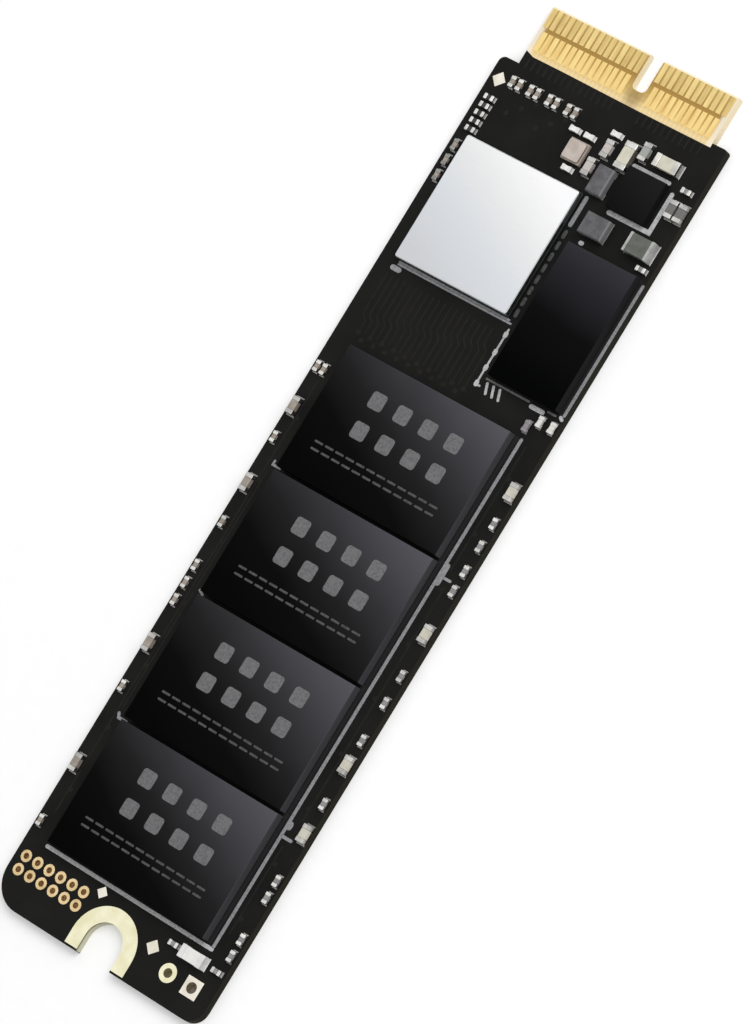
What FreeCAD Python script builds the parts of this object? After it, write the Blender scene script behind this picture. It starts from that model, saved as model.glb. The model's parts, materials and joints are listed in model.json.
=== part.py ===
import FreeCAD, Part
import Sketcher
import math
import os

# A blade solid state drive: a flat circuit board with a two-blade edge connector at its +Y end, a screw
# notch at its -Y end (the tail) and its parts soldered on the upper face.
# Millimetres. The underside lies on Z = 0 and the middle of the board is on the Z axis.

WIDE_CONTACTS = 16
NARROW_CONTACTS = 12
NAND_PACKAGES = 4
HEADER_COLUMNS = 6
HEADER_ROWS = 2
SMALL_HOLE_SIDES = 12

SIZES = [
    # Circuit board
    ("board_thickness", 0.8),
    ("foil_thickness", 0.035),
    ("plating", 0.05),
    ("tail_zone", 6.5),
    ("power_zone", 12.5),
    ("left_shoulder", 1.9),
    ("right_shoulder", 1.66),
    ("left_shoulder_drop", 0.9),
    ("right_shoulder_rise", 0.4),
    ("tail_left_radius", 3.0),
    ("tail_right_radius", 1.5),
    ("left_shoulder_radius", 0.6),
    ("right_shoulder_radius", 0.3),
    # Edge connector, from the covered board out to the tip
    ("bare_strip", 0.6),
    ("rear_contact_length", 1.85),
    ("row_gap", 0.35),
    ("front_contact_length", 1.85),
    ("tip_bevel", 0.15),
    ("contact_pitch", 0.665),
    ("contact_width", 0.5),
    ("blade_margin", 0.08),
    ("key_width", 1.5),
    ("key_floor", 1.5),
    ("key_radius", 0.5),
    # Screw notch
    ("notch_offset", 0.15),
    ("notch_depth", 1.6),
    ("notch_radius", 1.95),
    ("land_width", 1.4),
    ("land_setback", 0.2),
    # Plated holes at the tail
    ("header_x", 1.15),
    ("header_y", 3.2),
    ("header_pitch_x", 1.35),
    ("header_pitch_y", 1.3),
    ("header_pad_radius", 0.55),
    ("header_bore_radius", 0.28),
    ("tail_hole_y", 2.57),
    ("round_hole_x", 4.95),
    ("round_pad_radius", 0.85),
    ("round_bore_radius", 0.42),
    ("square_hole_x", 2.25),
    ("square_pad_side", 1.7),
    ("square_bore_radius", 0.5),
    # Bare metal diamonds
    ("front_mark_x", 1.05),
    ("front_mark_y", 7.7),
    ("left_mark_x", 9.5),
    ("left_mark_y", 5.3),
    ("right_mark_x", 7.5),
    ("right_mark_y", 3.7),
    ("mark_half", 0.72),
    ("small_mark_half", 0.58),
    # Ball-grid joints under the packages
    ("joint_height", 0.25),
    ("joint_inset", 0.5),
    ("package_edge", 0.05),
    # Flash memory
    ("nand_width", 18.0),
    ("nand_depth", 12.0),
    ("nand_height", 1.2),
    ("nand_gap", 0.3),
    ("nand_offset", 0.13),
    # Buffer memory
    ("memory_gap", 3.3),
    ("dram_width", 7.5),
    ("dram_depth", 13.0),
    ("dram_height", 1.1),
    ("dram_margin", 0.55),
    # Controller with its lid and the silicon under it
    ("controller_margin", 1.78),
    ("controller_gap", 1.57),
    ("controller_width", 12.6),
    ("controller_depth", 12.1),
    ("controller_y", 13.14),
    ("substrate_height", 0.4),
    ("lid_setback", 0.05),
    ("lid_height", 0.55),
    ("lid_wall", 0.9),
    ("lid_top", 0.3),
    ("lid_corner", 0.2),
    ("lid_edge", 0.08),
    ("die_width", 6.5),
    ("die_depth", 5.5),
    # Power parts
    ("regulator_x", 4.95),
    ("regulator_y", 11.25),
    ("regulator_width", 4.0),
    ("regulator_depth", 4.0),
    ("regulator_height", 0.8),
    ("upright_inductor_x", 8.7),
    ("upright_inductor_y", 11.55),
    ("upright_inductor_width", 1.65),
    ("upright_inductor_depth", 2.6),
    ("flat_inductor_x", 6.85),
    ("flat_inductor_y", 15.2),
    ("flat_inductor_width", 2.5),
    ("flat_inductor_depth", 2.0),
    ("inductor_height", 0.85),
    ("inductor_edge", 0.12),
    ("inductor_terminal_length", 0.55),
    ("inductor_terminal_height", 0.08),
    # Clock crystal
    ("crystal_x", 11.5),
    ("crystal_y", 10.25),
    ("crystal_width", 2.0),
    ("crystal_depth", 2.0),
    ("crystal_base_height", 0.35),
    ("crystal_lid_height", 0.25),
    ("crystal_lid_setback", 0.12),
    ("crystal_corner", 0.2),
    # Chips: ceramic blocks between two metal ends
    ("end_lip", 0.03),
    ("small_length", 1.0),
    ("small_width", 0.5),
    ("small_height", 0.4),
    ("small_end", 0.3),
    ("medium_length", 1.6),
    ("medium_width", 0.8),
    ("medium_height", 0.6),
    ("medium_end", 0.38),
    ("large_length", 2.5),
    ("large_width", 1.2),
    ("large_height", 0.8),
    ("large_end", 0.5),
    ("bulk_length", 2.5),
    ("bulk_width", 1.8),
    ("bulk_height", 1.0),
    ("bulk_end", 0.25),
]

# Chip sets: name, chip size, side and datum that the places are measured from, and each chip's place across
# and along the board with the way it points. "front" is the connector's tip, "tail" the opposite edge and
# "stack" the end of the row of flash packages.
CHIP_SETS = [
    ("coupling_capacitors", "small", "left", "front", [
        (2.5, 7.4, "along"), (3.3, 7.4, "along"),
        (4.5, 7.4, "along"), (5.3, 7.4, "along"),
        (6.6, 7.4, "along"), (7.4, 7.4, "along"),
        (8.7, 7.4, "along"), (9.5, 7.4, "along"),
    ]),
    ("controller_resistors", "small", "left", "front", [
        (1.32, 9.5, "across"), (1.32, 10.28, "across"), (1.32, 11.06, "across"),
        (1.32, 11.84, "across"), (1.32, 12.62, "across"),
    ]),
    ("controller_capacitors", "small", "left", "front", [
        (0.85, 14.4, "along"), (0.85, 15.9, "along"), (0.85, 17.4, "along"),
    ]),
    ("timing_capacitors", "small", "left", "front", [
        (10.3, 8.6, "across"), (11.9, 8.6, "across"), (11.6, 11.85, "across"), (14.1, 7.4, "across"),
    ]),
    ("input_capacitors", "large", "right", "front", [
        (7.8, 8.7, "along"), (3.98, 7.8, "across"),
    ]),
    ("filter_capacitors", "medium", "right", "front", [
        (9.85, 8.85, "along"), (6.5, 7.65, "along"), (10.55, 10.9, "along"),
        (1.45, 10.95, "along"), (0.5, 10.95, "along"),
    ]),
    ("filter_resistors", "small", "right", "front", [
        (1.2, 9.05, "across"), (1.05, 16.55, "across"),
    ]),
    ("bulk_capacitor", "bulk", "right", "front", [(2.05, 15.0, "across")]),
    ("memory_capacitors", "small", "right", "stack", [
        (2.67, 1.1, "along"), (1.72, 1.95, "along"), (0.46, 1.95, "along"),
    ]),
    ("right_edge_capacitors", "medium", "right", "tail", [
        (0.5, 18.2, "along"), (0.5, 24.8, "along"), (0.5, 37.4, "along"), (0.5, 51.1, "along"),
    ]),
    ("right_edge_resistors", "small", "right", "tail", [
        (0.45, 6.5, "along"), (0.45, 8.1, "along"), (0.45, 12.1, "along"), (0.45, 13.7, "along"),
        (0.45, 21.1, "along"), (0.45, 27.2, "along"), (0.45, 30.8, "along"), (0.45, 33.4, "along"),
        (0.45, 41.6, "along"), (0.45, 43.5, "along"), (0.45, 45.9, "along"), (0.45, 48.1, "along"),
    ]),
    ("left_edge_capacitors", "small", "left", "tail", [
        (0.6, 7.7, "along"), (0.6, 20.9, "along"), (0.6, 29.4, "along"), (0.6, 31.1, "along"),
        (0.6, 32.8, "along"), (0.6, 37.1, "along"), (0.6, 45.5, "along"), (0.6, 52.5, "along"),
        (1.35, 52.5, "along"),
    ]),
    ("left_filter_capacitors", "medium", "left", "tail", [
        (0.7, 13.4, "along"), (0.7, 25.2, "along"), (0.7, 41.0, "along"), (0.7, 48.6, "along"),
    ]),
    ("tail_chip", "large", "right", "tail", [(3.45, 4.8, "across")]),
    ("tail_resistors", "small", "right", "tail", [(5.8, 4.85, "across"), (0.9, 4.8, "across")]),
]

doc = FreeCAD.newDocument("solid_state_drive")
sheet = doc.addObject("Spreadsheet::Sheet", "size")
layout = doc.addObject("App::VarSet", "layout")
nodes = []


def add_size(alias, value):
    """Put one driving dimension in the next row of the sheet, under its name."""
    add_size.row += 1
    sheet.set("A%d" % add_size.row, alias)
    sheet.set("B%d" % add_size.row, str(value))
    sheet.setAlias("B%d" % add_size.row, alias)


def add_derived(name, expression):
    """A length that follows from the driving dimensions."""
    layout.addProperty("App::PropertyFloat", name, "Layout")
    layout.setExpression(name, expression)


def new_body(name, x, y, z):
    """A body named as its node, with its origin placed by expressions in the frame of the board."""
    body = doc.addObject("PartDesign::Body", name)
    body.Label = name
    for axis, place in zip("xyz", (x, y, z)):
        body.setExpression("Placement.Base." + axis, place)
    nodes.append(body)
    return body


def board_body(name, z):
    """A body whose own origin is the tail's left corner of the board, at the given level."""
    return new_body(name, "-layout.board_width / 2", "-layout.board_length / 2", z)


def origin_feature(body, role):
    return next(item for item in body.Origin.OriginFeatures if item.Role == role)


def new_sketch(body, name, plane="XY_Plane", shift=("0", "0", "0")):
    """A sketch on one of the body's origin planes, moved within it by expressions."""
    sketch = body.newObject("Sketcher::SketchObject", name)
    sketch.AttachmentSupport = [(origin_feature(body, plane), "")]
    sketch.MapMode = "FlatFace"
    for axis, distance in zip("xyz", shift):
        if distance != "0":
            sketch.setExpression("AttachmentOffset.Base." + axis, distance)
    return sketch


def bind_all(sketch, rules, bindings):
    """Add the constraints in one go, then bind the dimensions among them to expressions."""
    sketch.addConstraint(rules)
    for index, expression in bindings:
        sketch.setExpression("Constraints[%d]" % index, expression)


def polygons(sketch, outlines):
    """Closed outlines of straight lines. Each corner is two expressions, its distances from both axes."""
    lines = []
    rules = []
    bindings = []
    for outline in outlines:
        first = len(lines)
        count = len(outline)
        turn = 2 * math.pi / count
        rough = [FreeCAD.Vector(2 + math.cos(k * turn), 2 + math.sin(k * turn), 0) for k in range(count)]
        for k, (x, y) in enumerate(outline):
            lines.append(Part.LineSegment(rough[k], rough[(k + 1) % count]))
            rules.append(Sketcher.Constraint("Coincident", first + k, 2, first + (k + 1) % count, 1))
            for kind, axis, distance, start in [
                ("DistanceX", -2, x, rough[k].x),
                ("DistanceY", -1, y, rough[k].y),
            ]:
                if distance == "0":
                    rules.append(Sketcher.Constraint("PointOnObject", first + k, 1, axis))
                else:
                    bindings.append((len(rules), distance))
                    rules.append(Sketcher.Constraint(kind, -1, 1, first + k, 1, start))
    sketch.addGeometry(lines, False)
    bind_all(sketch, rules, bindings)


def box_outline(x, y, width, depth):
    """Corners of a rectangle about its middle."""
    left, right = "%s - %s / 2" % (x, width), "%s + %s / 2" % (x, width)
    low, high = "%s - %s / 2" % (y, depth), "%s + %s / 2" % (y, depth)
    return [(left, low), (right, low), (right, high), (left, high)]


def ring_outline(x, y, radius):
    """Corners of a small hole or its pad, which is drawn with a few flat sides."""
    angles = [360.0 * k / SMALL_HOLE_SIDES for k in range(SMALL_HOLE_SIDES)]
    return [("%s + %s * cos(%g)" % (x, radius, a), "%s + %s * sin(%g)" % (y, radius, a)) for a in angles]


def centred_rectangle(sketch, width, depth):
    """A rectangle about the sketch's origin."""
    corners = [FreeCAD.Vector(x, y, 0) for x, y in ((-1, -1), (1, -1), (1, 1), (-1, 1))]
    sketch.addGeometry([Part.LineSegment(corners[k], corners[(k + 1) % 4]) for k in range(4)], False)
    rules = [Sketcher.Constraint("Coincident", k, 2, (k + 1) % 4, 1) for k in range(4)]
    rules += [Sketcher.Constraint("Horizontal", k) for k in (0, 2)]
    rules += [Sketcher.Constraint("Vertical", k) for k in (1, 3)]
    rules.append(Sketcher.Constraint("Symmetric", 0, 1, 2, 1, -1, 1))
    bindings = [(len(rules), width), (len(rules) + 1, depth)]
    rules.append(Sketcher.Constraint("DistanceX", 0, 1, 0, 2, 2.0))
    rules.append(Sketcher.Constraint("DistanceY", 1, 1, 1, 2, 2.0))
    bind_all(sketch, rules, bindings)


def circle(sketch, radius):
    """A circle about the sketch's origin."""
    index = sketch.addGeometry(Part.Circle(FreeCAD.Vector(0, 0, 0), FreeCAD.Vector(0, 0, 1), 1.0), False)
    rules = [
        Sketcher.Constraint("Coincident", index, 3, -1, 1),
        Sketcher.Constraint("Radius", index, 1.0),
    ]
    bind_all(sketch, rules, [(1, radius)])


def u_shape(sketch, radius, depth):
    """A U about the sketch's Y axis: legs that stand on the X axis, a half circle on top, closed below."""
    turn_middle = FreeCAD.Vector(0, 1, 0)
    parts = [
        Part.LineSegment(FreeCAD.Vector(-1, 0, 0), FreeCAD.Vector(-1, 1, 0)),
        Part.ArcOfCircle(Part.Circle(turn_middle, FreeCAD.Vector(0, 0, 1), 1.0), 0, math.pi),
        Part.LineSegment(FreeCAD.Vector(1, 1, 0), FreeCAD.Vector(1, 0, 0)),
        Part.LineSegment(FreeCAD.Vector(1, 0, 0), FreeCAD.Vector(-1, 0, 0)),
    ]
    rules = [
        Sketcher.Constraint("Coincident", 0, 2, 1, 2),
        Sketcher.Constraint("Coincident", 1, 1, 2, 1),
        Sketcher.Constraint("Coincident", 2, 2, 3, 1),
        Sketcher.Constraint("Coincident", 3, 2, 0, 1),
        Sketcher.Constraint("Vertical", 0),
        Sketcher.Constraint("Vertical", 2),
        Sketcher.Constraint("PointOnObject", 0, 1, -1),
        Sketcher.Constraint("PointOnObject", 2, 2, -1),
        Sketcher.Constraint("PointOnObject", 1, 3, -2),
        Sketcher.Constraint("Horizontal", 1, 1, 1, 3),
        Sketcher.Constraint("Horizontal", 1, 2, 1, 3),
    ]
    bindings = [(len(rules), radius), (len(rules) + 1, depth)]
    rules.append(Sketcher.Constraint("Radius", 1, 1.0))
    rules.append(Sketcher.Constraint("DistanceY", -1, 1, 1, 3, 1.0))
    sketch.addGeometry(parts, False)
    bind_all(sketch, rules, bindings)


def pad(body, sketch, length):
    feature = body.newObject("PartDesign::Pad", sketch.Name + "_pad")
    feature.Profile = sketch
    feature.setExpression("Length", length)
    doc.recompute()
    return feature


def pocket(body, sketch, depth=None):
    """Cut upwards from the sketch, right through or to a depth, and make sure that something was cut."""
    before = body.Tip.Shape.Volume
    feature = body.newObject("PartDesign::Pocket", sketch.Name + "_pocket")
    feature.Profile = sketch
    feature.Reversed = True
    if depth is None:
        feature.Type = "ThroughAll"
    else:
        feature.setExpression("Length", depth)
    doc.recompute()
    if not feature.Shape.Volume < before:
        raise RuntimeError(sketch.Name + " cut nothing")
    return feature


def dress(body, kind, name, edges, size_name, size):
    """A fillet or chamfer on the edges of the body's last feature that the test picks."""
    base = body.Tip
    picked = ["Edge%d" % n for n, edge in enumerate(base.Shape.Edges, start=1) if edges(edge)]
    if not picked:
        raise RuntimeError(name + " found no edge")
    feature = body.newObject("PartDesign::" + kind, name)
    feature.Base = (base, picked)
    feature.setExpression(size_name, size)
    doc.recompute()
    return feature


def upright_at(x, y):
    """Test for the upright edge at a corner, in the body's own millimetres."""
    def test(edge):
        box = edge.BoundBox
        upright = box.ZLength > 0.1 and box.XLength < 1e-4 and box.YLength < 1e-4
        return upright and abs(box.XMin - x) < 1e-3 and abs(box.YMin - y) < 1e-3
    return test


def upright(edge):
    box = edge.BoundBox
    return box.ZLength > 0.1 and box.XLength < 1e-4 and box.YLength < 1e-4


def level_at(z):
    """Test for the edges that lie flat at one height."""
    def test(edge):
        box = edge.BoundBox
        return abs(box.ZMin - z) < 1e-4 and abs(box.ZMax - z) < 1e-4
    return test


def linear_pattern(body, features, axis, pitch, count):
    pattern = body.newObject("PartDesign::LinearPattern", features[0].Name + "_row")
    pattern.Originals = features
    pattern.Direction = (origin_feature(body, axis), [""])
    pattern.Mode = "Spacing"
    pattern.setExpression("Offset", pitch)
    pattern.Occurrences = count
    body.Tip = pattern
    doc.recompute()
    return pattern


def grid_pattern(body, features):
    """Repeat features over the header's columns and rows."""
    pattern = linear_pattern(body, features, "X_Axis", "size.header_pitch_x", HEADER_COLUMNS)
    pattern.Direction2 = (origin_feature(body, "Y_Axis"), [""])
    pattern.Mode2 = "Spacing"
    pattern.setExpression("Offset2", "size.header_pitch_y")
    pattern.Occurrences2 = HEADER_ROWS
    doc.recompute()


# Driving dimensions, then the lengths that follow from them
add_size.row = 0
for alias, value in SIZES:
    add_size(alias, value)
for set_name, chip_size, side, datum, places in CHIP_SETS:
    for number, (across, along, way) in enumerate(places, start=1):
        add_size("%s_%d_x" % (set_name, number), across)
        add_size("%s_%d_y" % (set_name, number), along)
doc.recompute()

add_derived("wide_blade", "%d * size.contact_pitch + 2 * size.blade_margin" % WIDE_CONTACTS)
add_derived("narrow_blade", "%d * size.contact_pitch + 2 * size.blade_margin" % NARROW_CONTACTS)
add_derived("tongue_width", "layout.wide_blade + size.key_width + layout.narrow_blade")
add_derived(
    "tongue_length",
    "size.bare_strip + size.rear_contact_length + size.row_gap + size.front_contact_length + size.tip_bevel",
)
add_derived("nand_pitch", "size.nand_depth + size.nand_gap")
add_derived("stack_end", "size.tail_zone + %d * layout.nand_pitch - size.nand_gap" % NAND_PACKAGES)
add_derived("connector_width", "size.left_shoulder + layout.tongue_width + size.right_shoulder")
add_derived("controller_side", "size.controller_margin + size.controller_width + size.controller_gap")
add_derived("package_width", "layout.controller_side + size.dram_width + size.dram_margin")
add_derived("board_width", "max(layout.connector_width; layout.package_width)")
add_derived("neck", "layout.stack_end + size.memory_gap + size.dram_depth + size.power_zone")
add_derived("board_length", "layout.neck + layout.tongue_length")
add_derived("left_shoulder_y", "layout.neck - size.left_shoulder_drop")
add_derived("right_shoulder_y", "layout.neck + size.right_shoulder_rise")
add_derived("key_left", "size.left_shoulder + layout.wide_blade")
add_derived("key_right", "layout.key_left + size.key_width")
add_derived("tongue_right", "size.left_shoulder + layout.tongue_width")
add_derived("notch_x", "layout.board_width / 2 + size.notch_offset")
add_derived("land_radius", "size.notch_radius + size.land_width")
doc.recompute()

# Circuit board: outline, rounded corners and bevelled tip
board = board_body("circuit_board", "0")
board_outline = new_sketch(board, "board_outline")
polygons(board_outline, [[
    ("0", "0"),
    ("layout.board_width", "0"),
    ("layout.board_width", "layout.right_shoulder_y"),
    ("layout.tongue_right", "layout.right_shoulder_y"),
    ("layout.tongue_right", "layout.board_length"),
    ("layout.key_right", "layout.board_length"),
    ("layout.key_right", "layout.neck + size.key_floor"),
    ("layout.key_left", "layout.neck + size.key_floor"),
    ("layout.key_left", "layout.board_length"),
    ("size.left_shoulder", "layout.board_length"),
    ("size.left_shoulder", "layout.left_shoulder_y"),
    ("0", "layout.left_shoulder_y"),
]])
pad(board, board_outline, "size.board_thickness")

key_floor_y = layout.neck + sheet.key_floor
for name, corners, radius in [
    ("tail_left_round", [(0, 0)], "size.tail_left_radius"),
    ("tail_right_round", [(layout.board_width, 0)], "size.tail_right_radius"),
    ("left_shoulder_round", [(0, layout.left_shoulder_y)], "size.left_shoulder_radius"),
    (
        "right_shoulder_round",
        [(layout.board_width, layout.right_shoulder_y)],
        "size.right_shoulder_radius",
    ),
    ("key_round", [(layout.key_left, key_floor_y), (layout.key_right, key_floor_y)], "size.key_radius"),
]:
    tests = [upright_at(x, y) for x, y in corners]
    dress(board, "Fillet", name, lambda edge: any(test(edge) for test in tests), "Radius", radius)


def at_tip(edge):
    box = edge.BoundBox
    return box.YMin > layout.board_length - 1e-3 and box.ZLength < 1e-4


dress(board, "Chamfer", "tip_bevel", at_tip, "Size", "size.tip_bevel")

# Screw notch, and the shallow seat of its land on the underside
notch_outline = new_sketch(board, "notch_outline", shift=("layout.notch_x", "0", "0"))
u_shape(notch_outline, "size.notch_radius", "size.notch_depth")
pocket(board, notch_outline)
land_depth = "size.notch_depth - size.land_setback"
land_seat = new_sketch(board, "land_seat", shift=("layout.notch_x", "size.land_setback", "0"))
u_shape(land_seat, "layout.land_radius", land_depth)
pocket(board, land_seat, "size.foil_thickness")

# Plated holes, each with the seat of its lower pad
header_pad = ring_outline("size.header_x", "size.header_y", "size.header_pad_radius")
header_bore = ring_outline("size.header_x", "size.header_y", "size.header_bore_radius")
header_wall = ring_outline("size.header_x", "size.header_y", "(size.header_bore_radius + size.plating)")
header_holes = new_sketch(board, "header_holes")
polygons(header_holes, [header_wall])
grid_pattern(board, [pocket(board, header_holes)])
header_seats = new_sketch(board, "header_seats")
polygons(header_seats, [header_pad])
grid_pattern(board, [pocket(board, header_seats, "size.foil_thickness")])
round_shift = ("layout.board_width - size.round_hole_x", "size.tail_hole_y", "0")
square_shift = ("layout.board_width - size.square_hole_x", "size.tail_hole_y", "0")
for name, shift, bore in [
    ("round_hole", round_shift, "size.round_bore_radius"),
    ("square_hole", square_shift, "size.square_bore_radius"),
]:
    hole = new_sketch(board, name, shift=shift)
    circle(hole, bore + " + size.plating")
    pocket(board, hole)
round_seat = new_sketch(board, "round_seat", shift=round_shift)
circle(round_seat, "size.round_pad_radius")
pocket(board, round_seat, "size.foil_thickness")
square_seat = new_sketch(board, "square_seat", shift=square_shift)
centred_rectangle(square_seat, "size.square_pad_side", "size.square_pad_side")
pocket(board, square_seat, "size.foil_thickness")

# Contacts: one row at the tip, and a row behind it that is set over by half a pitch
def contact_row(name, near, length, missing):
    """A row of contacts on both blades; `missing` is how many fewer than the blade's full count it has."""
    body = board_body(name, "size.board_thickness")
    for blade, left, count in [
        ("wide", "size.left_shoulder", WIDE_CONTACTS),
        ("narrow", "layout.key_right", NARROW_CONTACTS),
    ]:
        first_x = "%s + size.blade_margin + %d / 2 * size.contact_pitch" % (left, 1 + missing)
        first_y = "layout.neck + %s + %s / 2" % (near, length)
        sketch = new_sketch(body, "%s_%s" % (name, blade))
        polygons(sketch, [box_outline(first_x, first_y, "size.contact_width", length)])
        first = pad(body, sketch, "size.foil_thickness")
        linear_pattern(body, [first], "X_Axis", "size.contact_pitch", count - missing)


contact_row("rear_contacts", "size.bare_strip", "size.rear_contact_length", 1)
contact_row(
    "front_contacts",
    "size.bare_strip + size.rear_contact_length + size.row_gap",
    "size.front_contact_length",
    0,
)

# Screw land: gold foil round the notch on both faces, which ends just short of the tail edge
land = new_body("screw_land", "size.notch_offset", "-layout.board_length / 2", "0")
for name, level in [("lower_land", "0"), ("upper_land", "size.board_thickness")]:
    land_outline = new_sketch(land, name, shift=("0", "size.land_setback", level))
    u_shape(land_outline, "layout.land_radius", land_depth)
    pad(land, land_outline, "size.foil_thickness")
land_opening = new_sketch(land, "land_opening")
u_shape(land_opening, "size.notch_radius", "size.notch_depth")
pocket(land, land_opening)

# Plating of the small holes: in each a pad below, a thin barrel and a pad above
header = board_body("header_plating", "0")
land_top = "size.board_thickness + size.foil_thickness"
spool = []
for name, outer, level, length in [
    ("header_lower_pad", header_pad, "0", "size.foil_thickness"),
    ("header_barrel", header_wall, "0", land_top),
    ("header_upper_pad", header_pad, "size.board_thickness", "size.foil_thickness"),
]:
    ring = new_sketch(header, name, shift=("0", "0", level))
    polygons(ring, [outer, header_bore])
    spool.append(pad(header, ring, length))
grid_pattern(header, spool)

# Plating of the round hole: half of a spool's section, turned about the hole's axis
round_plating = new_body(
    "round_hole_plating",
    "layout.board_width / 2 - size.round_hole_x",
    "size.tail_hole_y - layout.board_length / 2",
    "0",
)
round_section = new_sketch(round_plating, "round_section", plane="XZ_Plane")
round_wall = "size.round_bore_radius + size.plating"
polygons(round_section, [[
    ("size.round_bore_radius", "0"),
    ("size.round_pad_radius", "0"),
    ("size.round_pad_radius", "size.foil_thickness"),
    (round_wall, "size.foil_thickness"),
    (round_wall, "size.board_thickness"),
    ("size.round_pad_radius", "size.board_thickness"),
    ("size.round_pad_radius", land_top),
    ("size.round_bore_radius", land_top),
]])
round_spool = round_plating.newObject("PartDesign::Revolution", "round_spool")
round_spool.Profile = round_section
round_spool.ReferenceAxis = (origin_feature(round_plating, "Z_Axis"), [""])
round_spool.Angle = 360
doc.recompute()

# Plating of the square hole: a barrel between two square pads, bored through
square_plating = new_body(
    "square_hole_plating",
    "layout.board_width / 2 - size.square_hole_x",
    "size.tail_hole_y - layout.board_length / 2",
    "0",
)
barrel = new_sketch(square_plating, "square_barrel")
circle(barrel, "size.square_bore_radius + size.plating")
pad(square_plating, barrel, land_top)
for name, level in [("square_lower_pad", "0"), ("square_upper_pad", "size.board_thickness")]:
    square = new_sketch(square_plating, name, shift=("0", "0", level))
    centred_rectangle(square, "size.square_pad_side", "size.square_pad_side")
    pad(square_plating, square, "size.foil_thickness")
bore = new_sketch(square_plating, "square_bore")
circle(bore, "size.square_bore_radius")
pocket(square_plating, bore)

# Bare metal diamonds that assembly machines aim at
marks = board_body("fiducial_marks", "size.board_thickness")
diamonds = []
for x, y, half in [
    ("size.front_mark_x", "layout.board_length - size.front_mark_y", "size.mark_half"),
    ("size.left_mark_x", "size.left_mark_y", "size.small_mark_half"),
    ("layout.board_width - size.right_mark_x", "size.right_mark_y", "size.mark_half"),
]:
    diamonds.append([
        (x + " - " + half, y),
        (x, y + " - " + half),
        (x + " + " + half, y),
        (x, y + " + " + half),
    ])
diamond_outline = new_sketch(marks, "diamond_outline")
polygons(diamond_outline, diamonds)
pad(marks, diamond_outline, "size.foil_thickness")


# Packages: a layer of ball-grid joints, set back from the edge, with the body over it
def package(name, x, y, width, depth, height, edge=None):
    body = new_body(name, x, y, "size.board_thickness")
    joints = new_sketch(body, name + "_joints")
    centred_rectangle(joints, width + " - 2 * size.joint_inset", depth + " - 2 * size.joint_inset")
    pad(body, joints, "size.joint_height")
    block = new_sketch(body, name + "_block", shift=("0", "0", "size.joint_height"))
    centred_rectangle(block, width, depth)
    pad(body, block, height + " - size.joint_height")
    if edge:
        top = body.Tip.Shape.BoundBox.ZMax
        dress(body, "Chamfer", name + "_edge", level_at(top), "Size", edge)


for number in range(NAND_PACKAGES):
    package(
        "nand_package_%d" % (NAND_PACKAGES - number),
        "-size.nand_offset",
        "size.tail_zone + %d * layout.nand_pitch + size.nand_depth / 2 - layout.board_length / 2" % number,
        "size.nand_width", "size.nand_depth", "size.nand_height", "size.package_edge",
    )
package(
    "dram_package",
    "layout.board_width / 2 - size.dram_margin - size.dram_width / 2",
    "layout.stack_end + size.memory_gap + size.dram_depth / 2 - layout.board_length / 2",
    "size.dram_width", "size.dram_depth", "size.dram_height", "size.package_edge",
)

# Controller: carrier, silicon and the metal lid that stands over it
controller_x = "size.controller_margin + size.controller_width / 2 - layout.board_width / 2"
controller_y = "layout.board_length / 2 - size.controller_y - size.controller_depth / 2"
package(
    "controller_substrate", controller_x, controller_y,
    "size.controller_width", "size.controller_depth", "size.substrate_height",
)
carrier_top = "size.board_thickness + size.substrate_height"
die = new_body("controller_die", controller_x, controller_y, carrier_top)
die_outline = new_sketch(die, "die_outline")
centred_rectangle(die_outline, "size.die_width", "size.die_depth")
pad(die, die_outline, "size.lid_height - size.lid_top")

lid = new_body("controller_lid", controller_x, controller_y, carrier_top)
lid_outline = new_sketch(lid, "lid_outline")
lid_width = "size.controller_width - 2 * size.lid_setback"
lid_depth = "size.controller_depth - 2 * size.lid_setback"
centred_rectangle(lid_outline, lid_width, lid_depth)
pad(lid, lid_outline, "size.lid_height")
dress(lid, "Fillet", "lid_corners", upright, "Radius", "size.lid_corner")
dress(lid, "Chamfer", "lid_rim", level_at(sheet.lid_height), "Size", "size.lid_edge")
lid_hollow = new_sketch(lid, "lid_hollow")
centred_rectangle(lid_hollow, lid_width + " - 2 * size.lid_wall", lid_depth + " - 2 * size.lid_wall")
pocket(lid, lid_hollow, "size.lid_height - size.lid_top")


# Single blocks on the board: regulator, inductors on their terminals, crystal
def block(name, x, y, z, width, depth, height, edge):
    body = new_body(name, x, y, z)
    outline = new_sketch(body, name + "_outline")
    centred_rectangle(outline, width, depth)
    pad(body, outline, height)
    top = body.Tip.Shape.BoundBox.ZMax
    dress(body, "Chamfer", name + "_edge", level_at(top), "Size", edge)
    return body


def from_right_front(part):
    """Place of a part that is measured from the right edge and from the connector's tip."""
    return "layout.board_width / 2 - size.%s_x" % part, "layout.board_length / 2 - size.%s_y" % part


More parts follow.
